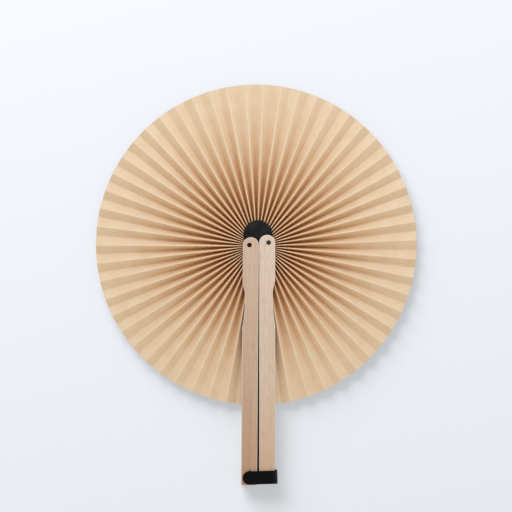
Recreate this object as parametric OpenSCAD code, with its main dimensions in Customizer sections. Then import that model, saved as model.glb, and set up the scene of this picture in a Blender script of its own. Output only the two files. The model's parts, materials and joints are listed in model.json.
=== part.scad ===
// Round pleated folding fan on a two-part wooden handle.
// The paper leaf opens to a full disc when both bars hang side by side below the hub, and
// folds into the bars' grooves when each bar is swung half a turn outward and up.
// The fan lies on its back: +Y runs from the handle's end to the top of the leaf, +Z faces the viewer.

/* [Leaf] */
// Diameter of the open leaf
leaf_d = 240; // [200:1:280]
// Number of full pleats from one bar round to the other
pleats = 54; // [30:2:70]
// Height of the pleats at the line where their creases meet
root_depth = 7.2; // [5:0.1:7.6]
// Height of the pleats at the rim
rim_depth = 3.6; // [1.5:0.1:5]
// Thickness of the sheet
sheet_t = 0.3; // [0.25:0.05:0.4]
// Radius of the leaf's inner edge about the hub
inner_r = 10.4; // [10:0.1:12]
// How far the leaf's centre lies to the left of the hub
leaf_shift = 2.1; // [0:0.1:3]
// How far the leaf's centre lies below the hub
leaf_drop = 0.75; // [0:0.05:2]
// How far the middle creases' meeting point lies to the left of the hub
root_shift = 1.5; // [0:0.1:2.5]
// How far the creases' meeting line lies below the hub
root_drop = 1.5; // [0:0.1:3]
// Thickness of the end flap glued into each bar
flap_t = 0.3; // [0.2:0.05:0.5]
// Layer of glue between an end flap and its bar
glue_t = 0.25; // [0.1:0.05:0.4]

/* [Handle bars] */
// Width of a bar seen from the front
bar_w = 11.9; // [11.5:0.1:14]
// Thickness of a bar from front to back
bar_t = 13; // [12.8:0.1:16]
// Length of a bar below its pivot
bar_tail = 179.5; // [160:0.5:210]
// How far a pivot lies outward of its bar's middle line
pin_offset = 1.05; // [0.6:0.05:1.2]
// Thickness of the front and back walls of the groove
wall_t = 1.6; // [1.2:0.1:1.7]
// Thickness of the web that closes the groove on the inner side
web_t = 2.2; // [1.5:0.1:2.5]
// Distance below the pivot at which the web starts
web_start = 9.5; // [8:0.5:14]
// Distance from the leaf's rim to the groove's end
groove_spare = 13; // [6:0.5:20]
// Width of the chamfer along the bars' edges
edge_c = 0.45; // [0.2:0.05:0.8]
// Lean of the left bar away from the middle, in degrees
left_lean = 0.45; // [0:0.05:0.8]
// Lean of the right bar away from the middle, in degrees
right_lean = 0; // [0:0.05:0.2]

/* [Finger notch] */
// Distance below the pivot at which the notch starts
notch_start = 28.8; // [20:0.2:32]
// Distance below the pivot at which the notch is deepest
notch_deepest = 39.8; // [36:0.2:46]
// Distance below the pivot at which the notch ends
notch_end = 62; // [55:0.5:75]
// Depth of the notch in the bar's outer edge
notch_depth = 1.9; // [1:0.1:2.2]

/* [Hub] */
// Distance between the two pivots
pin_spacing = 14.4; // [14.2:0.1:15]
// Turn of the hub that lifts the right pivot, in degrees
hub_tilt = 7.2; // [0:0.1:8]
// Diameter of the pivot pins
pin_d = 3.4; // [3:0.1:3.6]
// Depth of the pins' ends below the bars' faces
pin_recess = 0.3; // [0.1:0.1:0.6]
// Radius of the arch of the hub plates
plate_r = 10.85; // [10.4:0.05:11.2]
// Height of the arch's centre above the line of the pivots
arch_rise = 6.8; // [5:0.1:8]
// Reach of the plates below the line of the pivots
leg_drop = 6; // [4:0.1:6.5]
// Thickness of a hub plate
plate_t = 0.8; // [0.6:0.05:0.9]
// Outer diameter of the sleeves that keep the plates apart
sleeve_d = 4.6; // [4.2:0.1:4.8]

/* [Latch] */
// Height of the latch seen from the front
latch_h = 9.9; // [8:0.1:10.5]
// Thickness of the latch's plate and hook wall
latch_t = 1.4; // [1.2:0.1:1.8]
// Distance of the latch's pivot above the left bar's lower end
latch_up = 5.6; // [5.2:0.1:12]
// How far the latch's pivot lies inward of the left bar's middle line
latch_offset = 0.15; // [0:0.05:0.5]
// Turn of the closed latch that lifts its hook, in degrees
latch_tilt = 1.7; // [0:0.1:2.5]
// Outer radius of the bend between the plate and the hook wall
bend_r = 2.2; // [1.8:0.1:2.6]
// Height of the hook wall's tip above the plate's edge
tip_h = 0.75; // [0:0.05:1]
// Radius of the small nib on the latch's upper edge
nib_r = 0.7; // [0.4:0.05:1]
// Diameter of the latch pin
latch_pin_d = 3; // [2.4:0.1:3.6]
// Diameter of the latch pin's head in the back of the bar
pin_head_d = 5; // [4:0.1:6]
// Thickness of the latch pin's head
pin_head_t = 1; // [0.6:0.1:1.6]
// Depth of the latch pin in the latch's plate
pin_seat = 0.9; // [0.5:0.1:1]
// Radius of the right bar's lower outer corner, which the hook passes
strike_r = 1.5; // [0.5:0.1:2.5]

/* [Clearances] */
// Radial clearance of a pin in a part that turns on it
run_fit = 0.05; // [0.03:0.01:0.08]
// Radial clearance of a pin in a part that it is pressed into
press_fit = 0.01; // [0:0.005:0.02]
// Gap between a hub plate and the wall beside it
plate_gap = 0.15; // [0.1:0.05:0.25]
// Gap between the latch's plate and the bars' faces
latch_gap = 0.15; // [0.1:0.05:0.4]
// Gap between the hook wall and the right bar's edge
hook_gap = 0.35; // [0.3:0.05:0.6]
// Height of the hook wall's end above the surface that the fan lies on
floor_gap = 0.5; // [0.3:0.1:2]

/* [Hidden] */
$fn = 96;
past = 1;

wood = [0.83, 0.73, 0.61];
paper = [0.88, 0.78, 0.63];
black = [0.11, 0.12, 0.13];
dark_steel = [0.3, 0.31, 0.32];

// The hub's middle is the working origin, halfway through the bars' thickness.
pin_x = pin_spacing / 2 * cos(hub_tilt);
pin_y = pin_spacing / 2 * sin(hub_tilt);
pin_r = pin_d / 2;
bar_in = bar_w / 2 + pin_offset;
bar_out = bar_w / 2 - pin_offset;
front = bar_t / 2;
groove_half = front - wall_t;
plate_out = groove_half - plate_gap;
plate_in = plate_out - plate_t;
leaf_r = leaf_d / 2;
leaf_low = leaf_drop + leaf_r;
latch_v = bar_tail - latch_up;

// Where each bar's web stands at a distance v below its pivot
function left_web_x(v) = -pin_x + (bar_in - web_t) * cos(left_lean) - v * sin(left_lean);
function right_web_x(v) = pin_x - (bar_in - web_t) * cos(right_lean) + v * sin(right_lean);
end_gap = glue_t + flap_t;
left_end = [left_web_x(root_drop) - end_gap, left_web_x(leaf_low) - end_gap];
right_end = [right_web_x(root_drop) + end_gap, right_web_x(leaf_low) + end_gap];

// Creases are numbered from 0 in the left bar, clockwise over the top, to the last in the right bar.
middle = round(pleats);
creases = 2 * middle;
first_turn = asin((-leaf_shift - left_end[1]) / leaf_r);
last_turn = asin((right_end[1] + leaf_shift) / leaf_r);
turn_step = (360 - first_turn - last_turn) / creases;
function turn(j) = first_turn + j * turn_step;
function mix(a, b, t) = a + (b - a) * t;
function root_x(j) = j <= middle ? mix(left_end[0], -root_shift, j / middle)
    : mix(-root_shift, right_end[0], j / middle - 1);
function root(j) = [root_x(j), -root_drop];
function rim(j) = [-leaf_shift - leaf_r * sin(turn(j)), -leaf_drop - leaf_r * cos(turn(j))];
// Share of a crease's length at which it crosses the inner edge
function inner_share(j) =
    let (c = root(j), d = rim(j) - c, u = d / norm(d), b = c * u)
    (-b + sqrt(b * b - c * c + inner_r * inner_r)) / norm(d);
// Share of a crease's length on ring k of the sheet, from its inner edge to the rim
rings = 3;
function share(j, k) = mix(inner_share(j), 1, k / rings);
function ridge(j) = j % 2 == 1;
function side(j) = ridge(j) ? 1 : -1;
function depth(s) = mix(root_depth, rim_depth, s) / 2;
function on_crease(j, s) = mix(root(j), rim(j), s);
// Direction along the rim, square to crease j
function across(j) = let (d = rim(j) - root(j)) [d.y, -d.x] / norm(d);
// Slope of the pleats' panels at share s of crease j, in degrees
function slope(j, s) =
    let (way = j < creases ? 1 : -1)
    atan(2 * depth(s) / norm(on_crease(j + way, s) - on_crease(j, s)));
low_end = bar_tail * cos(left_lean) + bar_in * sin(left_lean) + pin_y;
shift = [leaf_shift, (low_end - leaf_r + leaf_drop) / 2, front];

module left_bar_frame() { translate([-pin_x, -pin_y, 0]) rotate(-left_lean) children(); }
module right_bar_frame() { translate([pin_x, pin_y, 0]) rotate(right_lean) mirror([1, 0, 0]) children(); }
module latch_frame() {
    left_bar_frame() translate([pin_offset + latch_offset, -latch_v, 0]) rotate(left_lean + latch_tilt) children();
}

module bore(r, from, to) { translate([0, 0, from]) cylinder(r = r, h = to - from); }
module pillar(r, half) { bore(r, -half, half); }

// Bars, drawn as the left one, with the pivot at the origin and the inner side towards +X
module bar_section() {
    w = bar_w / 2;
    polygon([[-w + edge_c, -front], [w - edge_c, -front], [w, -front + edge_c], [w, front - edge_c],
        [w - edge_c, front], [-w + edge_c, front], [-w, front - edge_c], [-w, -front + edge_c]]);
}

module bar_top() {
    w = bar_w / 2;
    rotate_extrude() polygon([[0, -front], [w - edge_c, -front], [w, -front + edge_c],
        [w, front - edge_c], [w - edge_c, front], [0, front]]);
}

module groove(length) {
    translate([-bar_out - past, -length, -groove_half])
        cube([past + bar_out + bar_in - web_t, length + bar_w, 2 * groove_half]);
    translate([0, -web_start, -groove_half]) cube([bar_in + past, web_start + bar_w, 2 * groove_half]);
}

// One arc of the finger notch, from its deepest point to its end in the direction dir
module notch_arc(reach, dir) {
    r = (reach * reach + notch_depth * notch_depth) / (2 * notch_depth);
    intersection() {
        translate([notch_depth - r, 0]) circle(r = r, $fn = 180);
        translate([-past, dir > 0 ? 0 : -reach]) square([past + notch_depth, reach]);
    }
}

module finger_notch() {
    translate([-bar_out, -notch_deepest, -front - past]) linear_extrude(bar_t + 2 * past) {
        notch_arc(notch_deepest - notch_start, 1);
        notch_arc(notch_end - notch_deepest, -1);
    }
}

module bar(groove_length) {
    difference() {
        union() {
            translate([pin_offset, 0, 0]) rotate([90, 0, 0]) linear_extrude(bar_tail) bar_section();
            translate([pin_offset, 0, 0]) bar_top();
        }
        groove(groove_length);
        finger_notch();
        pillar(pin_r + run_fit, front + past);
    }
}

module strike_corner() {
    translate([-bar_out, -bar_tail, -front - past]) linear_extrude(bar_t + 2 * past) difference() {
        translate([-past, -past]) square(strike_r + past);
        translate([strike_r, strike_r]) circle(r = strike_r);
    }
}

module left_handle() {
    color(wood) translate(shift) left_bar_frame() difference() {
        bar(leaf_low + groove_spare - pin_y);
        translate([pin_offset + latch_offset, -latch_v, 0]) {
            pillar(latch_pin_d / 2 + press_fit, front + past);
            bore(pin_head_d / 2 + press_fit, -front - past, -front + pin_recess + pin_head_t);
        }
    }
}

module right_handle() {
    color(wood) translate(shift) right_bar_frame() difference() {
        bar(leaf_low + groove_spare + pin_y);
        strike_corner();
    }
}

// Corners of the sheet at crease j on ring k: both corners of its outer face, then its inner corner.
// At the sheet's first and last creases, a and b, the outer face stops at the crease.
function crease_corners(j, k, a, b) =
    let (s = share(j, k), p = on_crease(j, s), f = slope(j, s), w = sheet_t / 2 * tan(f / 2) * across(j))
    let (outer = [side(j) * (depth(s) + sheet_t / 2)], inner = [side(j) * (depth(s) - sheet_t / 2 / cos(f))])
    [concat(j == a ? p : p - w, outer), concat(j == b ? p : p + w, outer), concat(p, inner)];
// Corners of the flap beside crease j on ring k: front at the crease, front and back at the bar
function flap_corners(j, k, way) =
    let (s = share(j, k), p = on_crease(j, s), x = p.x + way * flap_t, h = depth(s) + sheet_t / 2)
    [[p.x, p.y, h], [x, p.y, h], [x, p.y, -h]];

function flipped(faces) = [for (f = faces) [f[2], f[1], f[0]]];
function facing(front, faces) = front ? faces : flipped(faces);
// Faces from ring to ring between corners p and q, of n corners on a ring
function ribbon(p, q, n) = [for (i = [0:n:(rings - 1) * n])
    each [[i + p, i + n + p, i + n + q], [i + p, i + n + q, i + q]]];
function chain(c, n) = [for (i = [1:len(c) - 1]) each ribbon(c[i - 1], c[i], n)];

// Pleated sheet from crease a to crease b, with a flap that is glued flat into a bar at crease flap_at
module pleated_sheet(a, b, flap_at) {
    at_a = flap_at == a;
    points = [for (k = [0:rings]) each concat(
        [for (j = [a:b]) each crease_corners(j, k, a, b)], flap_corners(flap_at, k, at_a ? 1 : -1))];
    n = len(points) / (rings + 1);
    // A crease has corners c, c + 1 and c + 2, and the next crease starts at c + 3
    panels = [for (j = [a:b - 1]) let (c = 3 * (j - a)) each facing(ridge(j),
        concat(ribbon(c + 1, c + 5, n), flipped(ribbon(c + 2, c + 3, n))))];
    folds = [for (j = [a:b]) let (c = 3 * (j - a)) each facing(ridge(j), ribbon(c, c + 1, n))];
    flap = [n - 3, n - 2, n - 1];
    first = 0;
    last = n - 6;
    flap_chain = at_a ? concat(first + 2, flap, first) : concat(last + 2, flap, last + 1);
    plain_chain = at_a ? [last + 2, last + 1] : [first + 2, first];
    ends = concat(facing(!at_a, chain(flap_chain, n)), facing(at_a != ridge(at_a ? b : a), chain(plain_chain, n)));
    cap = concat(
        [for (j = [a:b - 1]) let (c = 3 * (j - a)) each facing(ridge(j), [[c + 2, c + 3, c + 5], [c + 2, c + 5, c + 1]])],
        [for (j = [a:b]) let (c = 3 * (j - a)) each facing(ridge(j), [[c + 2, c + 1, c]])],
        facing(at_a, [for (i = [0, 1, 4]) [flap[2], flap_chain[i], flap_chain[(i + 1) % 5]]]));
    rim_cap = [for (f = cap) [for (i = f) i + rings * n]];
    polyhedron(points, concat(panels, folds, ends, flipped(cap), rim_cap));
}

module leaf_left() { color(paper) translate(shift) pleated_sheet(0, middle, 0); }
module leaf_right() { color(paper) translate(shift) pleated_sheet(middle, creases, creases); }

module hub_plate(from) {
    color(black) translate(shift) rotate(hub_tilt) translate([0, 0, from]) linear_extrude(plate_t) difference() {
        union() {
            translate([0, arch_rise]) circle(r = plate_r, $fn = 180);
            translate([-plate_r, -leg_drop]) square([2 * plate_r, leg_drop + arch_rise]);
        }
        for (x = [-1, 1]) translate([x * pin_spacing / 2, 0]) circle(r = pin_r + press_fit);
    }
}

module hub_front_plate() { hub_plate(plate_in); }
module hub_back_plate() { hub_plate(-plate_out); }

module pivot_pin(at) { color(dark_steel) translate(shift + at) pillar(pin_r, front - pin_recess); }
module left_pivot_pin() { pivot_pin([-pin_x, -pin_y, 0]); }
module right_pivot_pin() { pivot_pin([pin_x, pin_y, 0]); }

module pivot_sleeve(at) {
    color(black) translate(shift + at) difference() {
        pillar(sleeve_d / 2, plate_in);
        pillar(pin_r + press_fit, plate_in + past);
    }
}
module left_pivot_sleeve() { pivot_sleeve([-pin_x, -pin_y, 0]); }
module right_pivot_sleeve() { pivot_sleeve([pin_x, pin_y, 0]); }

// Latch, drawn with its pivot at the origin and its hook towards +X
pivot_x = -pin_x - latch_v * sin(left_lean) + (pin_offset + latch_offset) * cos(left_lean);
pivot_y = -pin_y - latch_v * cos(left_lean) - (pin_offset + latch_offset) * sin(left_lean);
strike_x = pin_x + bar_out * cos(right_lean) + (pin_y - pivot_y) * sin(right_lean);
hook_x = strike_x - pivot_x + hook_gap;
latch_back = front + latch_gap;
latch_front = latch_back + latch_t;
hook_end = -front + floor_gap;

module latch_plate() {
    translate([0, 0, latch_back]) linear_extrude(latch_t) {
        circle(d = latch_h);
        translate([0, -latch_h / 2]) square([hook_x + latch_t - bend_r, latch_h]);
        translate([nib_r, latch_h / 2]) circle(r = nib_r, $fn = 32);
    }
}

module hook_section() {
    translate([hook_x + latch_t - bend_r, latch_front - bend_r]) intersection() {
        difference() {
            circle(r = bend_r, $fn = 64);
            circle(r = bend_r - latch_t, $fn = 64);
        }
        square(bend_r + past);
    }
    translate([hook_x, hook_end]) square([latch_t, latch_front - bend_r - hook_end]);
}

module latch() {
    color(black) translate(shift) latch_frame() difference() {
        union() {
            latch_plate();
            translate([0, latch_h / 2 + tip_h, 0]) rotate([90, 0, 0])
                linear_extrude(latch_h + tip_h) hook_section();
        }
        bore(latch_pin_d / 2 + run_fit, latch_back - past, latch_back + pin_seat + run_fit);
    }
}

module latch_pin() {
    color(dark_steel) translate(shift) latch_frame() union() {
        bore(latch_pin_d / 2, -front + pin_recess, latch_back + pin_seat);
        bore(pin_head_d / 2, -front + pin_recess, -front + pin_recess + pin_head_t);
    }
}

left_handle();
right_handle();
leaf_left();
leaf_right();
hub_front_plate();
hub_back_plate();
left_pivot_pin();
right_pivot_pin();
left_pivot_sleeve();
right_pivot_sleeve();
latch();
latch_pin();
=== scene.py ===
"""Looks of a round pleated paper fan that folds into the two grooved bars of its wooden handle.

Lengths are in metres. +Y runs from the handle's end to the top of the leaf and +Z faces the viewer.
"""

import json
import logging
import math
import random
from dataclasses import dataclass, field
from enum import Enum
from typing import Iterable, Sequence

import bpy
from mathutils import Matrix, Vector


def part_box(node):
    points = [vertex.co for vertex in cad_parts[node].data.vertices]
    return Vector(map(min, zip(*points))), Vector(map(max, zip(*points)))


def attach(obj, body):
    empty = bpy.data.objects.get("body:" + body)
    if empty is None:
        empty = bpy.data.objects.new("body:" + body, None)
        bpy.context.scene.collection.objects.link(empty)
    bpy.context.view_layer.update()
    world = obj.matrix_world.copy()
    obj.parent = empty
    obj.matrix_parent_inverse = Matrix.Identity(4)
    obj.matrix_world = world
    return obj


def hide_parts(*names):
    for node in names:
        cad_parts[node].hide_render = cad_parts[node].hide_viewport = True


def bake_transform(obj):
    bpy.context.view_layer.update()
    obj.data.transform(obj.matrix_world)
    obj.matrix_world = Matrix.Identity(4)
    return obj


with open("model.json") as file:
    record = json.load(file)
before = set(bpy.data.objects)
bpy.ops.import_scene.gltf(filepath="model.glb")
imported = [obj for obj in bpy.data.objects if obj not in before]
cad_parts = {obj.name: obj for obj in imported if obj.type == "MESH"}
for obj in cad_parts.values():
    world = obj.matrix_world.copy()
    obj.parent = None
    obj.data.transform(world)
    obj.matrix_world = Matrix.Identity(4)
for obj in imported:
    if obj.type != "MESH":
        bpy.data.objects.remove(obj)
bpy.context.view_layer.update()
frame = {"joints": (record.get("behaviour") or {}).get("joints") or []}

LOG = logging.getLogger("fan")

Colour = tuple[float, float, float, float]
Triple = tuple[float, float, float]
Face = tuple[int, ...]
Stops = tuple[tuple[float, float], ...]
Material = bpy.types.Material
Mesh = bpy.types.Mesh
Piece = bpy.types.Object
Socket = bpy.types.NodeSocket
Input = float | Sequence[float] | Socket

WHITE: Colour = (1.0, 1.0, 1.0, 1.0)
QUARTER_TURN = 90
HALF_TURN = 180
FULL_TURN = 360
MATRIX_SIZE = 4
FINE_OCTAVES = 4.0
OCTAVES = 3.0
COARSE_OCTAVES = 2.0
ROUND_STEPS = 48
EDGE_STEPS = 4
SOFT_STEPS = 2
SHARP_ABOVE = math.radians(40)
SOFTEN_ABOVE = math.radians(60)
LEAST_MITRE = 0.5


class Body(str, Enum):
    """Bodies that the pieces ride on."""

    HUB = "hub"
    LEFT_BAR = "left_bar"
    RIGHT_BAR = "right_bar"
    LATCH = "latch"


class Side(Enum):
    """Side of the fan that a bar belongs to."""

    LEFT = "left"
    RIGHT = "right"

    @property
    def body(self) -> Body:
        """Body of this side's bar."""
        return Body.LEFT_BAR if self is Side.LEFT else Body.RIGHT_BAR


class Corner(Enum):
    """Corner of an outline, by the angle in degrees at which its quarter circle starts."""

    TOP_RIGHT = 0
    TOP_LEFT = QUARTER_TURN
    BOTTOM_LEFT = HALF_TURN
    BOTTOM_RIGHT = HALF_TURN + QUARTER_TURN


def shade(red: float, green: float, blue: float) -> Colour:
    """Turn a colour as seen on a screen into the linear colour that a shader takes.

    Args:
        red: Red, from 0 to 255.
        green: Green, from 0 to 255.
        blue: Blue, from 0 to 255.

    Returns:
        The colour, opaque.
    """

    def channel(value: float) -> float:
        """Give the linear value of one channel."""
        share = value / 255
        return share / 12.92 if share <= 0.04045 else ((share + 0.055) / 1.055) ** 2.4

    return channel(red), channel(green), channel(blue), 1.0


def mix(start: float, end: float, share: float) -> float:
    """Give the value at a share of the way from start to end."""
    return start + (end - start) * share


def middle_of(node: str) -> Vector:
    """Give the middle of a node's box."""
    low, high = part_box(node)
    return (low + high) / 2


class Shader:
    """A material's nodes, with short calls for those that the finishes share."""

    def __init__(self, name: str) -> None:
        """Start a material whose surface is a plain glossy and matte mix.

        Args:
            name: Name of the material.
        """
        self.material = bpy.data.materials.new(name)
        self.material.use_nodes = True
        self.nodes = self.material.node_tree.nodes
        self.links = self.material.node_tree.links
        self.surface = self.nodes["Principled BSDF"]

    def give(self, socket: Socket, value: Input) -> None:
        """Link a source into a socket, or set a plain value on it.

        Args:
            socket: The socket.
            value: The source or the value.
        """
        if isinstance(value, Socket):
            self.links.new(value, socket)
        else:
            socket.default_value = value

    def fill(self, node: bpy.types.Node, inputs: dict[str, Input]) -> None:
        """Give a node its inputs, which are named in lower case with underscores."""
        for name, value in inputs.items():
            self.give(node.inputs[name.replace("_", " ").title().replace("Ior", "IOR")], value)

    def add(self, kind: str, **inputs: Input) -> bpy.types.Node:
        """Add a node.

        Args:
            kind: Its kind.
            inputs: Its inputs, named as fill takes them.

        Returns:
            The node.
        """
        node = self.nodes.new(kind)
        self.fill(node, inputs)
        return node

    def set(self, **inputs: Input) -> None:
        """Give the surface its inputs, named as fill takes them."""
        self.fill(self.surface, inputs)

    def coordinates(self, kind: str = "Object") -> Socket:
        """Give coordinates of the piece, which stay with it as it moves."""
        return self.add("ShaderNodeTexCoord").outputs[kind]

    def stretched(self, vector: Socket, scale: Sequence[float]) -> Socket:
        """Scale coordinates along each axis."""
        return self.add("ShaderNodeMapping", vector=vector, scale=scale).outputs["Vector"]

    def noise(self, vector: Socket, scale: float = 1.0, detail: float = OCTAVES) -> Socket:
        """Give soft noise from 0 to 1, in blotches of a scale with octaves of finer detail."""
        return self.add("ShaderNodeTexNoise", vector=vector, scale=scale, detail=detail).outputs["Fac"]

    def along(self, axis: str, start: float, end: float) -> Socket:
        """Give the share of the way from one place to another along an axis of the piece."""
        place = self.add("ShaderNodeSeparateXYZ", vector=self.coordinates()).outputs[axis]
        return self.add("ShaderNodeMapRange", value=place, from_min=start, from_max=end).outputs["Result"]

    def attribute(self, name: str) -> Socket:
        """Give a value that the mesh stores at its points.

        Args:
            name: Name of the value.

        Returns:
            The value.
        """
        node = self.add("ShaderNodeAttribute")
        node.attribute_name = name
        return node.outputs["Fac"]

    def ramp(self, value: Socket, stops: Stops) -> Socket:
        """Reshape a value, level beyond the first stop and the last.

        Args:
            value: The value.
            stops: Place and height of each stop.

        Returns:
            The reshaped value.
        """
        node = self.add("ShaderNodeFloatCurve", value=value)
        node.mapping.extend = "HORIZONTAL"
        points = node.mapping.curves[0].points
        while len(points) < len(stops):
            points.new(0.5, 0.5)
        for point, stop in zip(points, stops):
            point.location = stop
            point.handle_type = "VECTOR"
        node.mapping.update()
        return node.outputs["Value"]

    def combined(self, operation: str, first: Socket, second: Socket | float) -> Socket:
        """Work out a named operation on two values.

        Args:
            operation: Its name.
            first: The first value.
            second: The second value.

        Returns:
            The result.
        """
        node = self.add("ShaderNodeMath")
        node.operation = operation
        self.give(node.inputs[0], first)
        self.give(node.inputs[1], second)
        return node.outputs["Value"]

    def mean(self, first: Socket, second: Socket) -> Socket:
        """Give the mean of two values."""
        return self.combined("MULTIPLY", self.combined("ADD", first, second), 0.5)

    def blend(self, share: Socket, low: Socket | Colour, high: Socket | Colour, way: str = "MIX") -> Socket:
        """Mix two colours.

        Args:
            share: Share of the second.
            low: The first colour.
            high: The second colour.
            way: Name of the way in which they mix.

        Returns:
            The mixed colour.
        """
        node = self.add("ShaderNodeMix", factor=share)
        node.data_type = "RGBA"
        node.blend_type = way
        for name, colour in (("A", low), ("B", high)):
            self.give(next(s for s in node.inputs if s.name == name and s.type == "RGBA"), colour)
        return next(s for s in node.outputs if s.type == "RGBA")

    def relief(self, height: Socket, depth: float) -> None:
        """Bump the surface by a height from 0 to 1, to a depth in metres."""
        node = self.add("ShaderNodeBump", strength=1.0, distance=depth, height=height)
        self.set(normal=node.outputs["Normal"])


@dataclass(frozen=True)
class PaperFinish:
    """Natural kraft paper with short fibres; painted shade deep in its folds, a painted highlight on crests.
    """

    sheet: Colour = shade(231, 205, 171)
    fibre: Colour = shade(221, 191, 153)
    # Colour of the painted shade deep in the folds.
    fold_shade: Colour = shade(191, 120, 18)
    # Colour of the painted highlight on the crests.
    crest: Colour = shade(253, 215, 173)
    fibre_scale: Triple = (420.0, 1500.0, 1.0)
    cloud_scale: float = 90.0
    speckle_stops: Stops = ((0.3, 0.0), (0.7, 1.0))
    roughness: float = 0.82
    gloss: float = 0.05
    tooth: float = 0.00003

    def material(self) -> Material:
        """Make the paper, whose fibres lie along the pleats.

        Returns:
            The material.
        """
        shader = Shader("kraft_paper")
        sheet = shader.coordinates("UV")
        fibres = shader.noise(shader.stretched(sheet, self.fibre_scale), detail=FINE_OCTAVES)
        clouds = shader.noise(sheet, self.cloud_scale, detail=COARSE_OCTAVES)
        speckles = shader.ramp(shader.mean(fibres, clouds), self.speckle_stops)
        speckled = shader.blend(speckles, self.sheet, self.fibre)
        # Painted shade in the folds.
        fold_shaded = shader.blend(shader.attribute("depth"), speckled, self.fold_shade)
        # Painted highlight on the crests.
        highlighted = shader.blend(shader.attribute("crest"), fold_shaded, self.crest)
        shader.relief(fibres, self.tooth)
        shader.set(base_color=highlighted, roughness=self.roughness, specular_ior_level=self.gloss)
        return shader.material


@dataclass(frozen=True)
class WoodFinish:
    """Pale sanded wood with fine straight grain and short darker pores, darker towards the handle's end."""

    name: str
    light: Colour
    dark: Colour
    # Colour of the painted highlight on the rounded edges.
    edge: Colour = shade(250, 238, 226)
    low: Colour = shade(236, 222, 206)
    top_y: float = 0.03
    end_y: float = -0.15
    low_stops: Stops = ((0.0, 0.0), (0.55, 0.3), (1.0, 1.0))
    pore: Colour = shade(160, 122, 92)
    grain_scale: Triple = (900.0, 18.0, 900.0)
    pore_scale: Triple = (2600.0, 120.0, 2600.0)
    band_scale: Triple = (220.0, 5.0, 220.0)
    tone_stops: Stops = ((0.3, 0.0), (0.7, 1.0))
    pore_stops: Stops = ((0.58, 0.0), (0.75, 0.55))
    roughness: float = 0.55
    gloss: float = 0.08
    grain_depth: float = 0.00004

    def material(self) -> Material:
        """Make the wood, with its grain along +Y.

        Returns:
            The material.
        """
        shader = Shader(self.name)
        place = shader.coordinates()
        grain = shader.noise(shader.stretched(place, self.grain_scale), detail=FINE_OCTAVES)
        bands = shader.noise(shader.stretched(place, self.band_scale), detail=COARSE_OCTAVES)
        pores = shader.noise(shader.stretched(place, self.pore_scale), detail=COARSE_OCTAVES)
        plain = shader.blend(shader.ramp(shader.mean(grain, bands), self.tone_stops), self.light, self.dark)
        specks = shader.ramp(pores, self.pore_stops)
        pored = shader.blend(specks, plain, self.pore)
        lowness = shader.ramp(shader.along("Y", self.top_y, self.end_y), self.low_stops)
        toned = shader.blend(lowness, pored, self.low, "MULTIPLY")
        # Painted highlight on the rounded edges.
        edge_highlighted = shader.blend(shader.attribute("edge"), toned, self.edge)
        shader.relief(shader.combined("SUBTRACT", grain, specks), self.grain_depth)
        shader.set(base_color=edge_highlighted, roughness=self.roughness, specular_ior_level=self.gloss)
        return shader.material


@dataclass(frozen=True)
class PlasticFinish:
    """Moulded dark plastic with a fine grained skin, with a painted sheen where its mesh stores one."""

    name: str
    light: Colour
    dark: Colour
    roughness: float
    gloss: float
    # Colour of the painted sheen.
    sheen_colour: Colour = shade(38, 39, 40)
    skin_scale: float = 1400.0
    cloud_scale: float = 160.0
    tone_stops: Stops = ((0.35, 0.0), (0.65, 1.0))
    skin_depth: float = 0.00003

    def material(self) -> Material:
        """Make the plastic, mottled between its two tones.

        Returns:
            The material.
        """
        shader = Shader(self.name)
        place = shader.coordinates()
        skin = shader.noise(place, self.skin_scale)
        clouds = shader.noise(place, self.cloud_scale)
        mottled = shader.blend(shader.ramp(shader.mean(skin, clouds), self.tone_stops), self.dark, self.light)
        # Painted sheen, where the mesh stores it.
        wear_and_sheen = shader.blend(shader.attribute("wear"), mottled, self.sheen_colour)
        shader.relief(skin, self.skin_depth)
        shader.set(base_color=wear_and_sheen, roughness=self.roughness, specular_ior_level=self.gloss)
        return shader.material


@dataclass(frozen=True)
class SteelFinish:
    """Blackened steel with turning marks, and painted shade where its mesh stores it."""

    tint: Colour = shade(54, 51, 50)
    wear_and_sheen: Colour = shade(78, 74, 70)
    # Colour of the painted shade in a recess.
    recess_shade: Colour = shade(12, 8, 6)
    roughness: float = 0.4
    metallic: float = 0.9
    scratch_scale: Triple = (500.0, 3500.0, 500.0)
    scratch_stops: Stops = ((0.4, 0.0), (0.75, 1.0))
    scratch_depth: float = 0.00001

    def material(self) -> Material:
        """Make the steel.

        Returns:
            The material.
        """
        shader = Shader("blackened_steel")
        scratches = shader.noise(shader.stretched(shader.coordinates(), self.scratch_scale))
        plain = shader.blend(shader.ramp(scratches, self.scratch_stops), self.tint, self.wear_and_sheen)
        # Painted shade, as in the left pin's recess.
        recess_shade = shader.blend(shader.attribute("oil"), plain, self.recess_shade)
        shader.relief(scratches, self.scratch_depth)
        shader.set(base_color=recess_shade, roughness=self.roughness, metallic=self.metallic)
        return shader.material


class Finishes:
    """The materials of the fan, made once and shared by its pieces."""

    def __init__(self) -> None:
        """Make every material."""
        # The left bar's wood is a darker copy of the right one's: painted shade.
        left = WoodFinish("left_bar_wood", light=shade(209, 180, 155), dark=shade(198, 166, 139))
        right = WoodFinish("right_bar_wood", light=shade(224, 201, 178), dark=shade(214, 188, 163))
        self.paper = PaperFinish().material()
        self.bars = {Side.LEFT: left.material(), Side.RIGHT: right.material()}
        self.hub = PlasticFinish(
            "hub_plastic", shade(40, 40, 41), shade(20, 17, 16), roughness=0.75, gloss=0.1).material()
        self.sleeve = PlasticFinish(
            "sleeve_plastic", shade(40, 42, 44), shade(22, 23, 25), roughness=0.6, gloss=0.2).material()
        self.latch = PlasticFinish(
            "latch_plastic", shade(11, 10, 10), shade(3, 3, 3), roughness=0.42, gloss=0.07).material()
        self.steel = SteelFinish().material()


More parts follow.
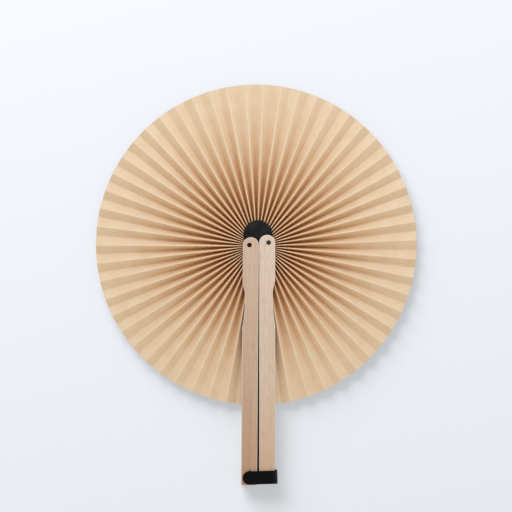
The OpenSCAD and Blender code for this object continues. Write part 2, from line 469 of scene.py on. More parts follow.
def put(name: str, data: bpy.types.ID) -> Piece:
    """Make an object and link it into the scene.

    Args:
        name: Name of the object.
        data: Its mesh, lamp or camera.

    Returns:
        The object.
    """
    piece = bpy.data.objects.new(name, data)
    bpy.context.scene.collection.objects.link(piece)
    return piece


def smooth(mesh: Mesh) -> None:
    """Shade a mesh smooth except at its sharp edges."""
    mesh.shade_smooth()
    mesh.set_sharp_from_angle(angle=SHARP_ABOVE)


def make_piece(name: str, points: Sequence[Vector], faces: Sequence[Face], material: Material) -> Piece:
    """Make a mesh object.

    Args:
        name: Name of the piece.
        points: Corners of the mesh.
        faces: Corners of each face, by number.
        material: Finish of the whole piece.

    Returns:
        The new object, linked into the scene.
    """
    mesh = bpy.data.meshes.new(name)
    mesh.from_pydata(points, [], faces)
    mesh.materials.append(material)
    smooth(mesh)
    return put(name, mesh)


def stand_in(piece: Piece, node: str, body: Body) -> Piece:
    """Let a piece stand for a solid one.

    Args:
        piece: The piece.
        node: Node that it replaces.
        body: Body that it rides on.

    Returns:
        The piece.
    """
    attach(piece, body.value)
    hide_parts(node)
    return piece


def store_points(mesh: Mesh, name: str, values: Sequence[float]) -> None:
    """Store a value at each point of a mesh."""
    layer = mesh.attributes.new(name, "FLOAT", "POINT")
    layer.data.foreach_set("value", values)


def store_places(mesh: Mesh, places: Sequence[tuple[float, float]]) -> None:
    """Store texture coordinates in metres.

    Args:
        mesh: The mesh.
        places: Where each of its points lies on the flat sheet.
    """
    layer = mesh.uv_layers.new(name="sheet")
    for loop in mesh.loops:
        layer.data[loop.index].uv = places[loop.vertex_index]


def sheet_faces(rows: int, columns: int) -> list[Face]:
    """Give the faces of a thin closed sheet whose points come in rows, each with a front and a back.

    Args:
        rows: Number of steps along the sheet.
        columns: Points across the sheet.

    Returns:
        Four-cornered faces, by point number.
    """

    def corner(row: int, column: int, back: int) -> int:
        """Give a point's number."""
        return (row * columns + column) * 2 + back

    last = columns - 1
    faces: list[Face] = []
    for row in range(rows):
        for column in range(last):
            for back in (0, 1):
                ring = (corner(row, column, back), corner(row, column + 1, back),
                        corner(row + 1, column + 1, back), corner(row + 1, column, back))
                faces.append(ring[::-1] if back else ring)
        for column in (0, last):
            ring = (corner(row, column, 0), corner(row, column, 1),
                    corner(row + 1, column, 1), corner(row + 1, column, 0))
            faces.append(ring if column else ring[::-1])
    for column in range(last):
        for row in (0, rows):
            ring = (corner(row, column, 0), corner(row, column, 1),
                    corner(row, column + 1, 1), corner(row, column + 1, 0))
            faces.append(ring[::-1] if row else ring)
    return faces


def tube_faces(levels: int, count: int, ring: bool = False) -> list[Face]:
    """Give the faces of a closed piece whose points come in levels, anticlockwise seen from the last.

    Args:
        levels: Number of levels.
        count: Points in each level.
        ring: Whether the last level joins the first, with no face across either.

    Returns:
        The faces, by point number.
    """
    faces: list[Face] = []
    for level in range(levels if ring else levels - 1):
        low = level * count
        high = (level + 1) % levels * count
        for corner in range(count):
            after = (corner + 1) % count
            faces.append((low + corner, low + after, high + after, high + corner))
    if not ring:
        faces.append(tuple(reversed(range(count))))
        faces.append(tuple(range((levels - 1) * count, levels * count)))
    return faces


def arc(centre: Sequence[float], radius: float, start: float, end: float, steps: int) -> list[Vector]:
    """Give points along an arc.

    Args:
        centre: Its centre.
        radius: Its radius.
        start: Angle of its first point, in degrees.
        end: Angle of its last point, in degrees.
        steps: Number of stretches between points.

    Returns:
        The points, in the plane of the fan.
    """
    angles = (math.radians(mix(start, end, step / steps)) for step in range(steps + 1))
    return [Vector((centre[0] + radius * math.cos(a), centre[1] + radius * math.sin(a))) for a in angles]


def rounded(corner: Corner, centre: Sequence[float], radius: float, steps: int) -> list[Vector]:
    """Give points along the quarter circle that rounds a corner."""
    return arc(centre, radius, corner.value, corner.value + QUARTER_TURN, steps)


def circle(centre: Sequence[float], radius: float, start: float = 0.0) -> list[Vector]:
    """Give points round a circle, anticlockwise from an angle in degrees."""
    return arc(centre, radius, start, start + FULL_TURN, ROUND_STEPS)[:-1]


def inset(outline: Sequence[Vector], distance: float) -> list[Vector]:
    """Move an outline inward.

    Args:
        outline: The outline, anticlockwise.
        distance: How far it moves.

    Returns:
        The moved outline.
    """
    moved = []
    for number, point in enumerate(outline):
        before = (point - outline[number - 1]).normalized()
        after = (outline[(number + 1) % len(outline)] - point).normalized()
        inward = Vector((-before.y - after.y, before.x + after.x)).normalized()
        mitre = max(LEAST_MITRE, inward.dot(Vector((-before.y, before.x))))
        moved.append(point + inward * distance / mitre)
    return moved


def slab(name: str, outline: Sequence[Vector], low: float, high: float, edge: float,
         material: Material) -> Piece:
    """Make a flat piece with rounded edges.

    Args:
        name: Name of the piece.
        outline: Its outline seen from the front, anticlockwise.
        low: Height of its back.
        high: Height of its front.
        edge: Radius of its rounded edges, or 0 for sharp ones.
        material: Its finish.

    Returns:
        The piece.
    """
    turns = [math.pi / 2 * step / EDGE_STEPS for step in range(EDGE_STEPS + 1)] if edge else [0.0]
    levels = [(edge * (1 - math.cos(t)), low + edge * (1 - math.sin(t))) for t in reversed(turns)]
    levels += [(edge * (1 - math.cos(t)), high - edge * (1 - math.sin(t))) for t in turns]
    points = [(*point, height) for distance, height in levels for point in inset(outline, distance)]
    return make_piece(name, points, tube_faces(len(levels), len(outline)), material)


def turned(name: str, centre: Vector, profile: Sequence[tuple[float, float]], material: Material,
           ring: bool = False) -> Piece:
    """Make a round piece about an upright axis.

    Args:
        name: Name of the piece.
        centre: Middle of the piece.
        profile: Radius and height of each corner of its section, from the back up.
        material: Its finish.
        ring: Whether the section closes on itself, as a sleeve's does.

    Returns:
        The piece.
    """
    points = []
    for radius, height in profile:
        points += [(*point, centre.z + height) for point in circle(centre, radius)]
    return make_piece(name, points, tube_faces(len(profile), ROUND_STEPS, ring), material)


def carve(piece: Piece, cutters: Iterable[Piece], edge: float) -> None:
    """Cut pieces out of another and soften the new edges.

    Args:
        piece: The piece that is cut.
        cutters: What is taken out, which is then deleted.
        edge: Width of the softened edges, or 0 to leave them sharp.
    """
    cutters = list(cutters)
    for cutter in cutters:
        cut = piece.modifiers.new("cut", "BOOLEAN")
        cut.operation = "DIFFERENCE"
        cut.solver = "EXACT"
        cut.object = cutter
    if edge > 0:
        soften = piece.modifiers.new("soften", "BEVEL")
        soften.limit_method = "ANGLE"
        soften.angle_limit = SOFTEN_ABOVE
        soften.width = edge
        soften.segments = SOFT_STEPS
        soften.use_clamp_overlap = False
    bpy.context.view_layer.update()
    shaped = piece.evaluated_get(bpy.context.evaluated_depsgraph_get())
    mesh = bpy.data.meshes.new_from_object(shaped)
    piece.modifiers.clear()
    piece.data = mesh
    smooth(mesh)
    for cutter in cutters:
        bpy.data.objects.remove(cutter)


@dataclass(frozen=True)
class Crease:
    """One fold line of the leaf, from the line where all of them meet to the rim.

    The paper starts at its inner share. Its turned share of the bar's swing is worked out, but nothing turns
    it.
    """

    root: Vector
    rim: Vector
    inner: float
    turned: float

    def at(self, share: float) -> Vector:
        """Give the point at a share of the way from the leaf's inner edge to the rim."""
        return self.root.lerp(self.rim, mix(self.inner, 1.0, share))


@dataclass
class PleatedLeaf:
    """The pleated paper leaf: one thin panel between each two creases, and a flap glued into each bar.

    Creases are numbered from 0 in the left bar, clockwise over the top, to the last in the right bar.
    Odd ones are ridges towards the viewer and even ones are valleys.
    """

    finishes: Finishes
    hub: Vector
    pin_x: float
    radius: float = 0.12
    pleats: int = 54
    root_depth: float = 0.0072
    rim_depth: float = 0.0036
    inner_radius: float = 0.0104
    shift: float = 0.0021
    drop: float = 0.00075
    root_shift: float = 0.0015
    root_drop: float = 0.0015
    paper: float = 0.00016
    flap: float = 0.0003
    flap_edge: float = 0.0001
    # Share of painted shade on the flaps that lie in the grooves.
    flap_shade: float = 0.6
    glue: float = 0.00025
    web_inset: float = 0.0048
    left_lean: float = math.radians(0.45)
    fold_radius: float = 0.00032
    fold_share: float = 0.6
    fold_parts: int = 3
    level_share: float = 0.3
    # The painted shade in the folds spreads from the valley and grows with the panel's steepness.
    hollow_spread: float = 0.5
    depth_onset: int = 5
    bow: float = 0.00012
    bow_spread: float = 0.5
    wander: float = math.radians(0.22)
    rows: int = 26
    swing: float = math.radians(179.8)
    seed: int = 11
    creases: list[Crease] = field(default_factory=list)

    @property
    def panels(self) -> int:
        """Number of panels, two to a pleat."""
        return 2 * self.pleats

    def __post_init__(self) -> None:
        """Work out every crease from the leaf's ends in the bars' grooves, with the top one kept true."""
        gap = self.glue + self.flap
        top = -self.pin_x + self.web_inset * math.cos(self.left_lean)
        left, left_rim = (top - depth * math.sin(self.left_lean) - gap
                          for depth in (self.root_drop, self.drop + self.radius))
        right = self.pin_x - self.web_inset + gap
        first = math.asin((-self.shift - left_rim) / self.radius)
        last = math.asin((right + self.shift) / self.radius)
        step = (2 * math.pi - first - last) / self.panels
        chance = random.Random(self.seed)
        for number in range(self.panels + 1):
            around = number / self.pleats
            ends = (left, -self.root_shift, around) if around <= 1 else (-self.root_shift, right, around - 1)
            astray = 0.0 if around in (0, 1, 2) else chance.uniform(-1, 1) * self.wander
            self.creases.append(self.crease(number, mix(*ends), first + number * step, astray))

    def crease(self, number: int, root_x: float, turn: float, astray: float) -> Crease:
        """Place one crease.

        Args:
            number: Its number, which makes it a ridge or a valley.
            root_x: Where it starts on the line where the creases meet.
            turn: Its even turn about the leaf's middle, clockwise from straight down.
            astray: How far it strays from that turn.

        Returns:
            The crease, in the fan's own place.
        """
        side = 1 if number % 2 else -1
        root = Vector((root_x, -self.root_drop, side * self.root_depth / 2))
        rim = Vector((-self.shift - self.radius * math.sin(turn + astray),
                      -self.drop - self.radius * math.cos(turn + astray), side * self.rim_depth / 2))
        run = (rim - root).to_2d()
        along = root.to_2d().dot(run.normalized())
        reach = -along + math.sqrt(along ** 2 - root.to_2d().length_squared + self.inner_radius ** 2)
        to_top = 1 - number / self.pleats
        swung = abs(to_top) - math.copysign(astray, to_top) / self.swing
        return Crease(self.hub + root, self.hub + rim, reach / run.length, swung)

    def profile(self, width: float, height: float) -> list[Triple]:
        """Give the section of a panel, which turns level at both its creases.

        Args:
            width: Distance between the two creases seen from the front.
            height: Height between them.

        Returns:
            Place, height and slope of each point, with place and height from -1 to 1.
        """
        slope = math.atan2(height, width)
        bend = min(self.fold_share, self.fold_radius * math.sin(slope) / (width / 2))
        pitch = 1 / (1 - bend / 2)
        half = (self.level_share * (1 - bend), 1 - bend, 1 - bend / self.fold_parts, 1)
        section = []
        for place in (*(-place for place in reversed(half)), *half):
            short = max(0.0, abs(place) - (1 - bend))
            rise = pitch * (abs(place) - short ** 2 / (2 * bend))
            section.append((place, math.copysign(rise, place), pitch * (1 - short / bend)))
        return section

    def panel(self, number: int) -> Piece:
        """Make the panel between a crease and the next one.

        Args:
            number: Number of the panel's first crease.

        Returns:
            The panel, a thin closed piece with its painted fold shade and crest highlight stored at its
            points.
        """
        start, end = self.creases[number], self.creases[number + 1]
        bow = random.Random(self.seed + number).uniform(-1, 1) * self.bow
        points, fold_shades, crest_highlights, places = [], [], [], []
        for row in range(self.rows + 1):
            share = row / self.rows
            near, far = start.at(share), end.at(share)
            across = (far - near).to_2d()
            width = across.length
            height = far.z - near.z
            section = self.profile(width, abs(height))
            steepest = max(slope for _, _, slope in section)
            # Steep panels, near the hub, get more painted shade.
            steepness = (abs(height) / math.hypot(width, height)) ** self.depth_onset
            aside = Vector((*across.normalized(), 0))
            lift = bow * math.sin(math.pi * share) ** self.bow_spread
            for place, rise, slope in section:
                middle = near.lerp(far, (place + 1) / 2)
                middle.z = mix(near.z, far.z, (rise + 1) / 2)
                normal = (Vector((0, 0, width)) - aside * height * slope).normalized()
                middle += normal * lift * (1 - place ** 2)
                for front in (1, -1):
                    raised = front * rise * math.copysign(1, height)
                    # Painted shade grows towards the valley of the fold.
                    hollow = ((1 - min(1.0, raised)) / 2) ** self.hollow_spread
                    points.append(middle + normal * front * self.paper / 2)
                    fold_shades.append(hollow * steepness)
                    # Painted highlight on the ridge's rounded crest.
                    crest_highlights.append(max(0.0, 1 - slope / steepest) if raised > 0 else 0.0)
                    places.append((share * self.radius, (number + (place + 1) / 2) * self.root_depth))
        faces = sheet_faces(self.rows, len(section))
        piece = make_piece(f"leaf_panel_{number + 1:03d}", points, faces, self.finishes.paper)
        store_points(piece.data, "depth", fold_shades)
        store_points(piece.data, "crest", crest_highlights)
        store_places(piece.data, places)
        return piece

    def bend(self, piece: Piece, number: int) -> None:
        """Bake a panel's place into its mesh.

        Args:
            piece: The panel.
            number: Number of its first crease. Not used.
        """
        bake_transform(piece)

    def end_flap(self, crease: Crease, side: Side) -> Piece:
        """Make the flap that is glued flat into a bar's groove.

        Args:
            crease: The leaf's crease beside the bar.
            side: Side of the fan.

        Returns:
            The flap, a thin closed piece.
        """
        outward = 1 if side is Side.LEFT else -1
        edge, thickness = self.flap_edge, self.flap
        points = []
        for row in range(self.rows + 1):
            place = crease.at(row / self.rows)
            half = abs(place.z - self.hub.z) + self.paper / 2
            section = ((0, half - edge), (edge, half), (thickness - edge, half), (thickness, half - edge),
                       (thickness, edge - half), (thickness - edge, -half), (edge, -half), (0, edge - half))
            points += [Vector((place.x + outward * aside, place.y, self.hub.z + up)) for aside, up in section]
        faces = tube_faces(self.rows + 1, len(section))
        if side is Side.LEFT:
            faces = [tuple(reversed(face)) for face in faces]
        piece = make_piece(f"leaf_flap_{side.value}", points, faces, self.finishes.paper)
        # The flap lies in the groove and is painted with even shade.
        store_points(piece.data, "depth", [self.flap_shade] * len(points))
        store_places(piece.data, [(point.y, point.z) for point in points])
        return piece

    def build(self) -> int:
        """Make the whole leaf, with its flaps riding on the bars.

        Returns:
            The number of pieces made.
        """
        for number in range(self.panels):
            piece = self.panel(number)
            self.bend(piece, number)
            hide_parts("leaf_left" if number < self.pleats else "leaf_right")
        for side, crease in ((Side.LEFT, self.creases[0]), (Side.RIGHT, self.creases[-1])):
            piece = self.end_flap(crease, side)
            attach(piece, side.body.value)
        return self.panels + len(Side)


@dataclass
class HandleBar:
    """One grooved wooden bar, drawn as the left one with its pivot at the origin and its inner side at +X."""

    finishes: Finishes
    side: Side
    pivot: Vector
    width: float = 0.0119
    thickness: float = 0.013
    tail: float = 0.1795
    pin_offset: float = 0.00105
    top_height: float = 0.00575
    top_steps: int = 36
    wall: float = 0.0016
    web: float = 0.0022
    web_start: float = 0.0095
    groove_end: float = 0.1337
    notch_start: float = 0.0288
    notch_deepest: float = 0.0398
    notch_end: float = 0.062
    notch_depth: float = 0.0019
    upper_notch_steps: int = 10
    lower_notch_steps: int = 14
    edge: float = 0.00045
    cut_edge: float = 0.0001
    corner: float = 0.0006
    strike_corner: float = 0.0015
    outer_corner_steps: int = 6
    inner_corner_steps: int = 4
    lean: float = math.radians(0.45)
    bore: float = 0.00175
    latch_up: float = 0.0056
    latch_offset: float = 0.00015
    latch_bore: float = 0.0015
    latch_head: float = 0.0025
    latch_head_depth: float = 0.0013
    past: float = 0.001

    @property
    def wood(self) -> Material:
        """The bar's finish."""
        return self.finishes.bars[self.side]

    @property
    def inner(self) -> float:
        """Distance of the inner side from the pivot."""
        return self.width / 2 + self.pin_offset

    @property
    def outer(self) -> float:
        """Distance of the outer side from the pivot."""
        return self.width / 2 - self.pin_offset

    def place(self) -> Matrix:
        """Give the move from where the bar is drawn.

        Returns:
            The move to its own place.
        """
        if self.side is Side.LEFT:
            return Matrix.Translation(self.pivot) @ Matrix.Rotation(-self.lean, MATRIX_SIZE, "Z")
        return Matrix.Translation(self.pivot) @ Matrix.Scale(-1, MATRIX_SIZE, Vector((1, 0, 0)))

    def notch(self) -> list[Vector]:
        """Give the finger notch in the outer side, as two arcs that meet where it is deepest.

        Returns:
            Its points, from its top down.
        """
        upper = self.notch_deepest - self.notch_start
        lower = self.notch_deepest - self.notch_end
        aways = [upper * step / self.upper_notch_steps for step in range(self.upper_notch_steps, 0, -1)]
        aways += [lower * step / self.lower_notch_steps for step in range(self.lower_notch_steps + 1)]
        points = []
        for away in aways:
            reach = upper if away > 0 else lower
            radius = (reach ** 2 + self.notch_depth ** 2) / (2 * self.notch_depth)
            dip = self.notch_depth - radius + math.sqrt(radius ** 2 - away ** 2)
            points.append(Vector((-self.outer + dip, -self.notch_deepest + away)))
        return points

    def outline(self) -> list[Vector]:
        """Give the bar's outline.

        Returns:
            Its points, anticlockwise from the start of its round top.
        """
        half = self.width / 2
        flatness = self.top_height / half
        top = arc((self.pin_offset, 0), half, 0, HALF_TURN, self.top_steps)
        foot = self.corner if self.side is Side.LEFT else self.strike_corner
        outer_centre = (foot - self.outer, foot - self.tail)
        inner_centre = (self.inner - self.corner, self.corner - self.tail)
        outer = rounded(Corner.BOTTOM_LEFT, outer_centre, foot, self.outer_corner_steps)
        inner = rounded(Corner.BOTTOM_RIGHT, inner_centre, self.corner, self.inner_corner_steps)
        return [Vector((point.x, point.y * flatness)) for point in top] + self.notch() + outer + inner

    def cutters(self) -> list[Piece]:
        """Make what is cut from the bar: its groove, its bore and the left one's seat for the latch's pin.

        Returns:
            The cutters.
        """
        half = self.thickness / 2
        web = self.inner - self.web
        outside, inside = -self.outer - self.past, self.inner + self.past
        groove = [Vector(p) for p in (
            (outside, -self.groove_end), (web, -self.groove_end), (web, -self.web_start),
            (inside, -self.web_start), (inside, self.width), (outside, self.width))]
        made = [slab("groove", groove, self.wall - half, half - self.wall, 0, self.wood)]
        round_cuts = [("bore", (0, 0), self.bore, half + self.past)]
        if self.side is Side.LEFT:
            seat = (self.pin_offset + self.latch_offset, self.latch_up - self.tail)
            round_cuts += [("pin_bore", seat, self.latch_bore, half + self.past),
                           ("pin_head", seat, self.latch_head, self.latch_head_depth - half)]
        for name, centre, radius, top in round_cuts:
            made.append(slab(name, circle(centre, radius), -half - self.past, top, 0, self.wood))
        return made

    def build(self) -> Piece:
        """Make the bar.

        Returns:
            The bar, riding on its own body in place of the solid one.
        """
        name = self.side.value
        half = self.thickness / 2
        piece = slab(f"{name}_bar", self.outline(), -half, half, self.edge, self.wood)
        carve(piece, self.cutters(), self.cut_edge)
        # Painted highlight on the rounded edges, strongest halfway round them.
        heights = (min(1.0, (half - abs(v.co.z)) / self.edge) for v in piece.data.vertices)
        store_points(piece.data, "edge", [math.sin(math.pi * height) for height in heights])
        piece.data.transform(self.place())
        if self.side is Side.RIGHT:
            piece.data.flip_normals()
        return stand_in(piece, f"{name}_handle", self.side.body)


@dataclass
class HubPieces:
    """The two arched plates, the pins that the bars turn on and the sleeves round them."""

    finishes: Finishes
    hub: Vector
    pins: dict[Side, Vector]
    plate_radius: float = 0.01085
    arch_rise: float = 0.0068
    arch_steps: int = 60
    leg_drop: float = 0.006
    plate: float = 0.0008
    plate_edge: float = 0.00025
    hole_edge: float = 0.0000625
    foot_corner: float = 0.0012
    foot_steps: int = 6
    pin_radius: float = 0.0017
    left_pin_half: float = 0.0057
    left_pin_shade: float = 0.8
    right_pin_half: float = 0.0062
    pin_crown: float = 0.0003
    crown_shares: tuple[float, ...] = (1.0, 0.92, 0.75, 0.5, 0.2)
    crown_power: int = 3
    sleeve_radius: float = 0.0023
    sleeve_bore: float = 0.00171
    sleeve_half: float = 0.00395
    sleeve_edge: float = 0.00015

    def plate_piece(self, node: str) -> Piece:
        """Make an arched plate.

        Args:
            node: Node that it stands for.

        Returns:
            The plate.
        """
        apart = self.pins[Side.RIGHT] - self.pins[Side.LEFT]
        turn = Matrix.Rotation(math.atan2(apart.y, apart.x), MATRIX_SIZE, "Z")
        radius, corner, plastic = self.plate_radius, self.foot_corner, self.finishes.hub
        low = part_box(node)[0].z - self.hub.z
        outline = arc((0, self.arch_rise), radius, 0, HALF_TURN, self.arch_steps)
        for foot, side in ((Corner.BOTTOM_LEFT, -1), (Corner.BOTTOM_RIGHT, 1)):
            centre = (side * (radius - corner), corner - self.leg_drop)
            outline += rounded(foot, centre, corner, self.foot_steps)
        piece = slab(f"{node}_arch", outline, low, low + self.plate, self.plate_edge, plastic)
        rims = (circle((side * apart.length / 2, 0), self.pin_radius) for side in (-1, 1))
        holes = [slab("hole", rim, low - self.plate, low + 2 * self.plate, 0, plastic) for rim in rims]
        carve(piece, holes, self.hole_edge)
        piece.data.transform(Matrix.Translation(self.hub) @ turn)
        return stand_in(piece, node, Body.HUB)

    def pin_piece(self, side: Side) -> Piece:
        """Make a pivot pin with crowned ends.

        Args:
            side: Side of the fan.

        Returns:
            The pin.
        """
        left = side is Side.LEFT
        half = self.left_pin_half if left else self.right_pin_half
        crown = [(self.pin_radius * share, half - self.pin_crown * share ** self.crown_power)
                 for share in self.crown_shares]
        profile = [(radius, -height) for radius, height in reversed(crown)] + crown
        piece = turned(f"{side.value}_pin", self.pins[side], profile, self.finishes.steel)
        # The left pin sits deeper in its bore and gets painted shade.
        oil = self.left_pin_shade if left else 0.0
        store_points(piece.data, "oil", [oil] * len(piece.data.vertices))
        return stand_in(piece, f"{side.value}_pivot_pin", Body.HUB)

    def sleeve_piece(self, side: Side) -> Piece:
        """Make the sleeve round a pivot pin.

        Args:
            side: Side of the fan.

        Returns:
            The sleeve.
        """
        outer, bore, half, edge = self.sleeve_radius, self.sleeve_bore, self.sleeve_half, self.sleeve_edge
        profile = [(bore, edge - half), (bore + edge, -half), (outer - edge, -half), (outer, edge - half),
                   (outer, half - edge), (outer - edge, half), (bore + edge, half), (bore, half - edge)]
        piece = turned(f"{side.value}_sleeve", self.pins[side], profile, self.finishes.sleeve, ring=True)
        return stand_in(piece, f"{side.value}_pivot_sleeve", Body.HUB)

    def build(self) -> list[Piece]:
        """Make the hub.

        Returns:
            Its pieces, riding on the hub.
        """
        pieces = [self.plate_piece(node) for node in ("hub_front_plate", "hub_back_plate")]
        for side in Side:
            pieces += [self.pin_piece(side), self.sleeve_piece(side)]
        return pieces


@dataclass
class Latch:
    """The latch: a flat plate with a round end and, at the other, a hook, and the pin that it turns on.

    A section is a distance along the plate, its bend and its hook, with how far it is drawn in.
    """

    finishes: Finishes
    pivot: Vector
    height: float = 0.0099
    thickness: float = 0.0014
    plate_back: float = 0.00665
    hook_x: float = 0.0197023
    bend: float = 0.0022
    hook_drop: float = 0.006
    nub_radius: float = 0.0007
    nub_past: float = 0.00105
    edge: float = 0.00035
    tilt: float = math.radians(1.7)
    round_turns: tuple[int, ...] = tuple(range(6, 90, 6))
    nub_turns: tuple[int, ...] = tuple(range(0, 181, 20))
    tip_turns: tuple[int, ...] = (30, 60, 80)
    flat_steps: int = 8
    hook_steps: int = 4
    bore_start: float = 2.0
    sheen_gain: float = 2.0
    pin_radius: float = 0.0015
    pin_bottom: float = -0.0062
    pin_top: float = 0.00755
    pin_edge: float = 0.0002
    head_radius: float = 0.0025
    head: float = 0.001

    @property
    def flat(self) -> float:
        """Length of the plate's flat stretch past the pivot."""
        return self.hook_x + self.thickness - self.bend

    @property
    def bend_radius(self) -> float:
        """Radius of the bend in the middle of the plate's thickness."""
        return self.bend - self.thickness / 2

    @property
    def nub(self) -> float:
        """Distance along the plate of the nub on the bend's upper edge."""
        return self.flat + self.nub_past

    def reach(self, along: float) -> tuple[float, float]:
        """Give the plate's lower and upper edge at a distance along it from the pivot.

        Args:
            along: Distance along the plate, and then along the bend and the hook.

        Returns:
            The lower and the upper edge.
        """
        half = self.height / 2
        if along < 0:
            half = math.sqrt(max(0.0, half ** 2 - along ** 2))
        nubs = (self.nub_radius ** 2 - (along - middle) ** 2 for middle in (self.nub_radius, self.nub))
        return -half, half + sum(math.sqrt(max(0.0, nub)) for nub in nubs)

    def bent(self, along: float, up: float) -> tuple[float, float]:
        """Bend the flat plate into its hook.

        Args:
            along: Distance along the middle of the plate's thickness.
            up: Height above that middle.

        Returns:
            The point across the fan and its height.
        """
        radius = self.bend_radius
        middle = self.plate_back + self.thickness / 2
        if along <= self.flat:
            return along, middle + up
        turn = min(math.pi / 2, (along - self.flat) / radius)
        past = along - self.flat - radius * math.pi / 2
        across = self.flat + (radius + up) * math.sin(turn)
        height = middle - radius + (radius + up) * math.cos(turn)
        return across, height - max(0.0, past)

    def ring(self, along: float, drawn: float) -> list[Triple]:
        """Give the outline of a section, with rounded corners.

        Args:
            along: Its distance along the plate.
            drawn: How far it is drawn in. At the round end only its thickness is.

        Returns:
            Its points.
        """
        low, high = self.reach(along)
        if along > 0:
            low, high = low + drawn, high - drawn
        half = self.thickness / 2 - drawn
        edge = min(self.edge, (high - low) / 2, half)
        points = []
        for corner, side_y, side_z in zip(Corner, (1, -1, -1, 1), (1, 1, -1, -1)):
            centre = (high - edge if side_y > 0 else low + edge, side_z * (half - edge))
            for point in rounded(corner, centre, edge, EDGE_STEPS):
                across, height = self.bent(along, point.y)
                points.append((across, point.x, height))
        return points

    def sections(self) -> list[tuple[float, float]]:
        """Give every section.

        Returns:
            Its distance along the plate, from the round end, and how far it is drawn in.
        """

        def over_nub(start: float) -> list[tuple[float, float]]:
            """Give the sections over a nub that starts at a distance."""
            return [(start + self.nub_radius * (1 - math.cos(math.radians(t))), 0.0) for t in self.nub_turns]

        def between(start: float, end: float, steps: int) -> list[tuple[float, float]]:
            """Give evenly spaced sections after a distance, up to another."""
            return [(mix(start, end, step / steps), 0.0) for step in range(1, steps + 1)]

        half = self.height / 2
        nub = self.nub - self.nub_radius
        curve = self.flat + self.bend_radius * math.pi / 2
        end = curve + self.hook_drop + self.plate_back - self.bend + self.thickness
        made = []
        for turn in map(math.radians, self.round_turns):
            depth = half * (1 - math.cos(turn))
            drawn = self.edge - math.sqrt(self.edge ** 2 - max(0.0, self.edge - depth) ** 2)
            made.append((depth - half, drawn))
        made += over_nub(0.0) + between(2 * self.nub_radius, nub, self.flat_steps)[:-1] + over_nub(nub)
        made += between(nub + 2 * self.nub_radius, curve, self.hook_steps)
        made += between(curve, end - self.edge, self.hook_steps)
        for turn in map(math.radians, self.tip_turns):
            made.append((end - self.edge * (1 - math.sin(turn)), self.edge * (1 - math.cos(turn))))
        return made

    def plate(self) -> Piece:
        """Make the plate with its hook.

        Returns:
            The plate, with a painted sheen at its bend.
        """
        rings = [self.ring(along, drawn) for along, drawn in self.sections()]
        points = [point for ring in rings for point in ring]
        faces = [(face[0], *reversed(face[1:])) for face in tube_faces(len(rings), len(rings[0]))]
        piece = make_piece("latch_hook", points, faces, self.finishes.latch)
        rim = circle((0, 0), self.pin_radius, self.bore_start)
        carve(piece, [slab("bore", rim, 0, self.pin_top, 0, self.finishes.latch)], 0)
        # Painted sheen on the bend of the hook.
        shares = ((v.co.x - self.flat) / self.bend * self.sheen_gain for v in piece.data.vertices)
        store_points(piece.data, "wear", [max(0.0, min(1.0, share)) for share in shares])
        piece.data.transform(Matrix.Translation(self.pivot) @ Matrix.Rotation(self.tilt, MATRIX_SIZE, "Z"))
        return stand_in(piece, "latch", Body.LATCH)

    def pin(self) -> Piece:
        """Make the pin with its flat head in the back of the bar.

        Returns:
            The pin.
        """
        bottom, top, edge = self.pin_bottom, self.pin_top, self.pin_edge
        head, wide, narrow = bottom + self.head, self.head_radius, self.pin_radius
        profile = [(wide - edge, bottom), (wide, bottom + edge), (wide, head - edge), (wide - edge, head),
                   (narrow, head), (narrow, top - edge), (narrow - edge, top)]
        piece = turned("latch_rivet", self.pivot, profile, self.finishes.steel)
        return stand_in(piece, "latch_pin", Body.LEFT_BAR)


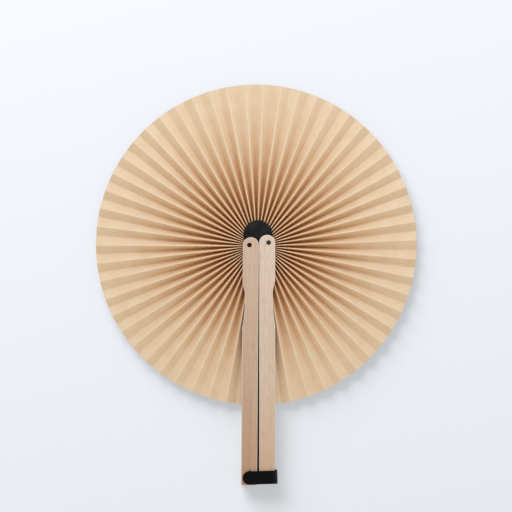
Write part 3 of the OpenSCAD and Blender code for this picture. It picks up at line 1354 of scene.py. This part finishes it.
@dataclass
class Studio:
    """A pale floor, soft light from the top of the picture, and a camera straight above the fan.

    A lamp of the floor's own, at the upper left, gives the fan its soft shadow to the lower right.
    """

    floor_half: float = 6.0
    floor_top: Colour = shade(245, 248, 253)
    floor_bottom: Colour = shade(230, 233, 238)
    floor_matte: Colour = shade(103, 104, 106)
    floor_glow: float = 0.56
    crevice: float = 0.012
    crevice_stops: Stops = ((0.18, 0.0), (0.42, 1.0))
    picture_span: float = 0.3832
    picture_middle: tuple[float, float] = (-0.00018, 0.0215)
    picture_height: float = 0.0065
    lens: float = 250.0
    sight: float = 20.0
    sky: float = 0.82
    key_power: float = 1.67
    key_size: float = 0.34
    key_place: Triple = (0.0, 0.51, 0.425)
    key_tint: Triple = (0.8, 0.98, 1.28)
    side_power: float = 755.0
    side_size: float = 3.0
    side_place: Triple = (-1.6, 3.07, 1.98)

    def floor_finish(self) -> Material:
        """Make the floor's finish, which pales towards the top of the picture and keeps the fan's shadow.

        Returns:
            The material.
        """
        shader = Shader("floor")
        low, high = (self.picture_middle[1] + side * self.picture_span / 2 for side in (-1, 1))
        tone = shader.blend(shader.along("Y", low, high), self.floor_bottom, self.floor_top)
        seen = shader.add("ShaderNodeLightPath").outputs
        looked_at = shader.combined("MAXIMUM", seen["Is Camera Ray"], seen["Is Glossy Ray"])
        # Ambient occlusion dims the camera-only glow: painted shade in narrow crevices, such as the gap
        # between the bars.
        crevice = shader.add("ShaderNodeAmbientOcclusion", distance=self.crevice)
        open_share = shader.ramp(crevice.outputs["AO"], self.crevice_stops)
        glow = shader.combined("MULTIPLY", open_share, self.floor_glow)
        shader.set(emission_color=tone, emission_strength=shader.combined("MULTIPLY", looked_at, glow))
        shader.set(base_color=self.floor_matte, roughness=1.0, specular_ior_level=0.0)
        return shader.material

    def floor(self) -> Piece:
        """Make the floor.

        Returns:
            The floor.
        """
        half = self.floor_half
        mesh = bpy.data.meshes.new("floor")
        corners = [(-half, -half, 0), (half, -half, 0), (half, half, 0), (-half, half, 0)]
        mesh.from_pydata(corners, [], [(0, 1, 2, 3)])
        mesh.materials.append(self.floor_finish())
        floor = put("floor", mesh)
        return floor

    def camera(self) -> None:
        """Place the camera at the picture's distance, looking straight down."""
        data = bpy.data.cameras.new("camera")
        data.lens = self.lens
        data.clip_end = self.sight
        camera = put("camera", data)
        away = self.picture_span * self.lens / data.sensor_width
        camera.location = (*self.picture_middle, self.picture_height + away)
        bpy.context.scene.camera = camera

    def sky_light(self) -> None:
        """Make the even light from all round."""
        world = bpy.data.worlds.new("studio")
        world.use_nodes = True
        background = world.node_tree.nodes["Background"]
        background.inputs["Color"].default_value = WHITE
        background.inputs["Strength"].default_value = self.sky
        bpy.context.scene.world = world

    def lamp(self, name: str, place: Triple, power: float, size: float) -> Piece:
        """Make a square lamp that faces the fan.

        Args:
            name: Name of the lamp.
            place: Where it stands.
            power: Its power in watts.
            size: Length of its side.

        Returns:
            The lamp.
        """
        data = bpy.data.lights.new(name, "AREA")
        data.energy = power
        data.size = size
        lamp = put(name, data)
        lamp.location = place
        lamp.rotation_euler = (-Vector(place)).to_track_quat("-Z", "Y").to_euler()
        return lamp

    def build(self, fan: Iterable[Piece]) -> None:
        """Set up the whole studio.

        Args:
            fan: The pieces that the key lamp lights.
        """
        bpy.context.scene.view_settings.view_transform = "Standard"
        self.camera()
        self.sky_light()
        key = self.lamp("key", self.key_place, self.key_power, self.key_size)
        key.data.color = self.key_tint
        side = self.lamp("side", self.side_place, self.side_power, self.side_size)
        for lamp, lit in ((key, fan), (side, [self.floor()])):
            lamp.light_linking.receiver_collection = bpy.data.collections.new(f"lit_by_{lamp.name}")
            for piece in lit:
                lamp.light_linking.receiver_collection.objects.link(piece)


def main() -> None:
    """Build the fan and its studio."""
    logging.basicConfig(level=logging.INFO, format="%(name)s: %(message)s")
    finishes = Finishes()
    pins = {side: middle_of(f"{side.value}_pivot_pin") for side in Side}
    left, right = pins.values()
    hub = (left + right) / 2
    leaf = PleatedLeaf(finishes, hub, pin_x=(right.x - left.x) / 2)
    LOG.info("leaf: %d pieces", leaf.build())
    made = [HandleBar(finishes, side, pivot).build() for side, pivot in pins.items()]
    made += HubPieces(finishes, hub, pins).build()
    joint = next(j for j in frame["joints"] if j["name"] == "latch_swing")
    latch = Latch(finishes, pivot=Vector(joint["pos_m"]))
    made += [latch.plate(), latch.pin()]
    for piece in made:
        LOG.info("%s: %d faces", piece.name, len(piece.data.polygons))
    Studio().build([piece for piece in bpy.data.objects if piece.type == "MESH"])
    LOG.info("studio: floor, lamps and camera")


if __name__ == "__main__":
    main()
